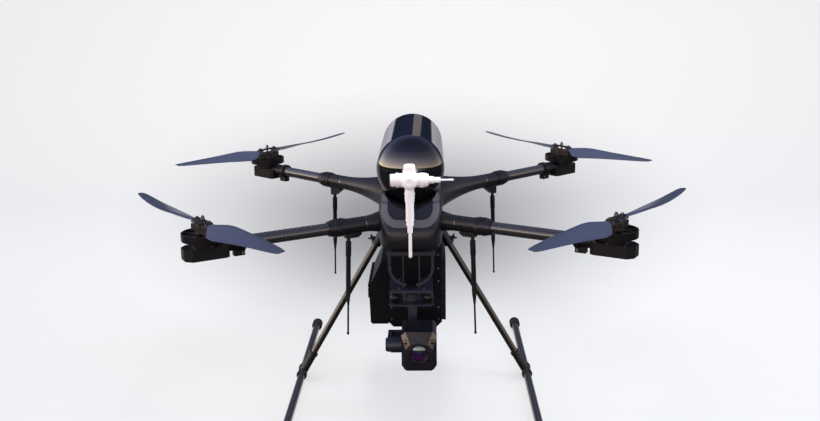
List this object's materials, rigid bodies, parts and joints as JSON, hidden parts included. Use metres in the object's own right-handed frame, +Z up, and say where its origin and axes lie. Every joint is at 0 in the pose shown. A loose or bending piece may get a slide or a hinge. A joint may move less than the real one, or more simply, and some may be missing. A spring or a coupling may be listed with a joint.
{
  "type": "fuel cell quadcopter drone",
  "caption": "Fuel cell quadcopter with a gas cylinder on top, plug-in carbon arms, folding rotors, a nose gimbal camera, a fuel cell case below and skid landing gear.",
  "frame": {"origin": "on the ground in the middle between the skids, below the centre of the four rotors", "axes": "+Z up, -Y out of the nose where the gimbal camera hangs, +X to the left side of a pilot who looks out of the nose"},
  "size_m": [1.3944, 1.5154, 0.73],
  "materials": {
    "ring": "satin grey",
    "shell": "satin charcoal",
    "dark_panel": "satin",
    "cylinder": "gloss lacquer over wound carbon fibre",
    "saddle": "matte",
    "regulator": "matte white",
    "case": "matte",
    "fins": "black anodised",
    "fitting": "black anodised",
    "carbon": "clear coated carbon twill",
    "rubber": "matte",
    "antenna": "matte",
    "gimbal": "dark anodised",
    "camera": "matte",
    "lens": "coated glass",
    "coupling": "black anodised",
    "mount": "satin",
    "motor": "black anodised",
    "hub": "dark anodised",
    "blade": "satin carbon"
  },
  "bodies": {
    "airframe": {"hull_shell": "shell", "top_cover": "shell", "front_panel": "dark_panel", "nose_ring": "ring", "pressure_cylinder": "cylinder", "cylinder_saddles": "saddle", "gas_regulator": "regulator", "gas_lines": "regulator", "fuel_cell_case": "case", "air_intake_box": "case", "heat_sink": "fins", "leg_sockets": "fitting", "leg_tubes": "carbon", "leg_tees": "fitting", "skid_tubes": "carbon", "skid_ends": "rubber", "antennas": "antenna", "camera_bracket": "gimbal", "damper_balls": "rubber", "damper_lower_plate": "gimbal", "arm_coupling_fl": "coupling", "arm_coupling_fr": "coupling", "arm_coupling_rl": "coupling", "arm_coupling_rr": "coupling"},
    "arm_fl": {"arm_tube_fl": "carbon", "motor_mount_fl": "mount", "motor_stator_fl": "motor"},
    "nut_fl": {"lock_nut_fl": "coupling"},
    "rotor_fl": {"motor_bell_fl": "motor", "rotor_hub_fl": "hub"},
    "blade_a_fl": {"blade_a_fl": "blade"},
    "blade_b_fl": {"blade_b_fl": "blade"},
    "arm_fr": {"arm_tube_fr": "carbon", "motor_mount_fr": "mount", "motor_stator_fr": "motor"},
    "nut_fr": {"lock_nut_fr": "coupling"},
    "rotor_fr": {"motor_bell_fr": "motor", "rotor_hub_fr": "hub"},
    "blade_a_fr": {"blade_a_fr": "blade"},
    "blade_b_fr": {"blade_b_fr": "blade"},
    "arm_rl": {"arm_tube_rl": "carbon", "motor_mount_rl": "mount", "motor_stator_rl": "motor"},
    "nut_rl": {"lock_nut_rl": "coupling"},
    "rotor_rl": {"motor_bell_rl": "motor", "rotor_hub_rl": "hub"},
    "blade_a_rl": {"blade_a_rl": "blade"},
    "blade_b_rl": {"blade_b_rl": "blade"},
    "arm_rr": {"arm_tube_rr": "carbon", "motor_mount_rr": "mount", "motor_stator_rr": "motor"},
    "nut_rr": {"lock_nut_rr": "coupling"},
    "rotor_rr": {"motor_bell_rr": "motor", "rotor_hub_rr": "hub"},
    "blade_a_rr": {"blade_a_rr": "blade"},
    "blade_b_rr": {"blade_b_rr": "blade"},
    "gimbal_yaw": {"yaw_arm": "gimbal"},
    "gimbal_roll": {"roll_arm": "gimbal"},
    "camera": {"camera_housing": "camera", "camera_lens": "lens"}
  },
  "joints": [
    {"name": "arm_pull_fl", "type": "slide", "parent": "airframe", "child": "arm_fl", "axis": [-0.8685, -0.4956, 0], "range_m": [0, 0.08]},
    {"name": "nut_turn_fl", "type": "hinge", "parent": "arm_fl", "child": "nut_fl", "pos_m": [-0.116, -0.268, 0.52], "axis": [-0.8685, -0.4956, 0], "range_deg": [0, 90]},
    {"name": "rotor_spin_fl", "type": "hinge", "parent": "arm_fl", "child": "rotor_fl", "pos_m": [-0.47, -0.47, 0.52], "axis": [0, 0, 1], "continuous": true},
    {"name": "blade_fold_a_fl", "type": "hinge", "parent": "rotor_fl", "child": "blade_a_fl", "pos_m": [-0.452, -0.49145, 0.56], "axis": [0, 0, 1], "range_deg": [-85, 85]},
    {"name": "blade_fold_b_fl", "type": "hinge", "parent": "rotor_fl", "child": "blade_b_fl", "pos_m": [-0.488, -0.44855, 0.56], "axis": [0, 0, 1], "range_deg": [-85, 85]},
    {"name": "arm_pull_fr", "type": "slide", "parent": "airframe", "child": "arm_fr", "axis": [0.8685, -0.4956, 0], "range_m": [0, 0.08]},
    {"name": "nut_turn_fr", "type": "hinge", "parent": "arm_fr", "child": "nut_fr", "pos_m": [0.116, -0.268, 0.52], "axis": [0.8685, -0.4956, 0], "range_deg": [0, 90]},
    {"name": "rotor_spin_fr", "type": "hinge", "parent": "arm_fr", "child": "rotor_fr", "pos_m": [0.47, -0.47, 0.52], "axis": [0, 0, 1], "continuous": true},
    {"name": "blade_fold_a_fr", "type": "hinge", "parent": "rotor_fr", "child": "blade_a_fr", "pos_m": [0.488, -0.44855, 0.56], "axis": [0, 0, 1], "range_deg": [-85, 85]},
    {"name": "blade_fold_b_fr", "type": "hinge", "parent": "rotor_fr", "child": "blade_b_fr", "pos_m": [0.452, -0.49145, 0.56], "axis": [0, 0, 1], "range_deg": [-85, 85]},
    {"name": "arm_pull_rl", "type": "slide", "parent": "airframe", "child": "arm_rl", "axis": [-0.744, 0.6682, 0], "range_m": [0, 0.08]},
    {"name": "nut_turn_rl", "type": "hinge", "parent": "arm_rl", "child": "nut_rl", "pos_m": [-0.205, 0.232, 0.52], "axis": [-0.744, 0.6682, 0], "range_deg": [0, 90]},
    {"name": "rotor_spin_rl", "type": "hinge", "parent": "arm_rl", "child": "rotor_rl", "pos_m": [-0.47, 0.47, 0.52], "axis": [0, 0, 1], "continuous": true},
    {"name": "blade_fold_a_rl", "type": "hinge", "parent": "rotor_rl", "child": "blade_a_rl", "pos_m": [-0.452, 0.49145, 0.56], "axis": [0, 0, 1], "range_deg": [-85, 85]},
    {"name": "blade_fold_b_rl", "type": "hinge", "parent": "rotor_rl", "child": "blade_b_rl", "pos_m": [-0.488, 0.44855, 0.56], "axis": [0, 0, 1], "range_deg": [-85, 85]},
    {"name": "arm_pull_rr", "type": "slide", "parent": "airframe", "child": "arm_rr", "axis": [0.744, 0.6682, 0], "range_m": [0, 0.08]},
    {"name": "nut_turn_rr", "type": "hinge", "parent": "arm_rr", "child": "nut_rr", "pos_m": [0.205, 0.232, 0.52], "axis": [0.744, 0.6682, 0], "range_deg": [0, 90]},
    {"name": "rotor_spin_rr", "type": "hinge", "parent": "arm_rr", "child": "rotor_rr", "pos_m": [0.47, 0.47, 0.52], "axis": [0, 0, 1], "continuous": true},
    {"name": "blade_fold_a_rr", "type": "hinge", "parent": "rotor_rr", "child": "blade_a_rr", "pos_m": [0.488, 0.44855, 0.56], "axis": [0, 0, 1], "range_deg": [-85, 85]},
    {"name": "blade_fold_b_rr", "type": "hinge", "parent": "rotor_rr", "child": "blade_b_rr", "pos_m": [0.452, 0.49145, 0.56], "axis": [0, 0, 1], "range_deg": [-85, 85]},
    {"name": "gimbal_yaw", "type": "hinge", "parent": "airframe", "child": "gimbal_yaw", "pos_m": [0, -0.23, 0.3], "axis": [0, 0, 1], "range_deg": [-170, 170]},
    {"name": "gimbal_roll", "type": "hinge", "parent": "gimbal_yaw", "child": "gimbal_roll", "pos_m": [0, -0.23, 0.186], "axis": [0, 1, 0], "range_deg": [-40, 40]},
    {"name": "gimbal_pitch", "type": "hinge", "parent": "gimbal_roll", "child": "camera", "pos_m": [0, -0.23, 0.186], "axis": [1, 0, 0], "range_deg": [-30, 90]}
  ]
}
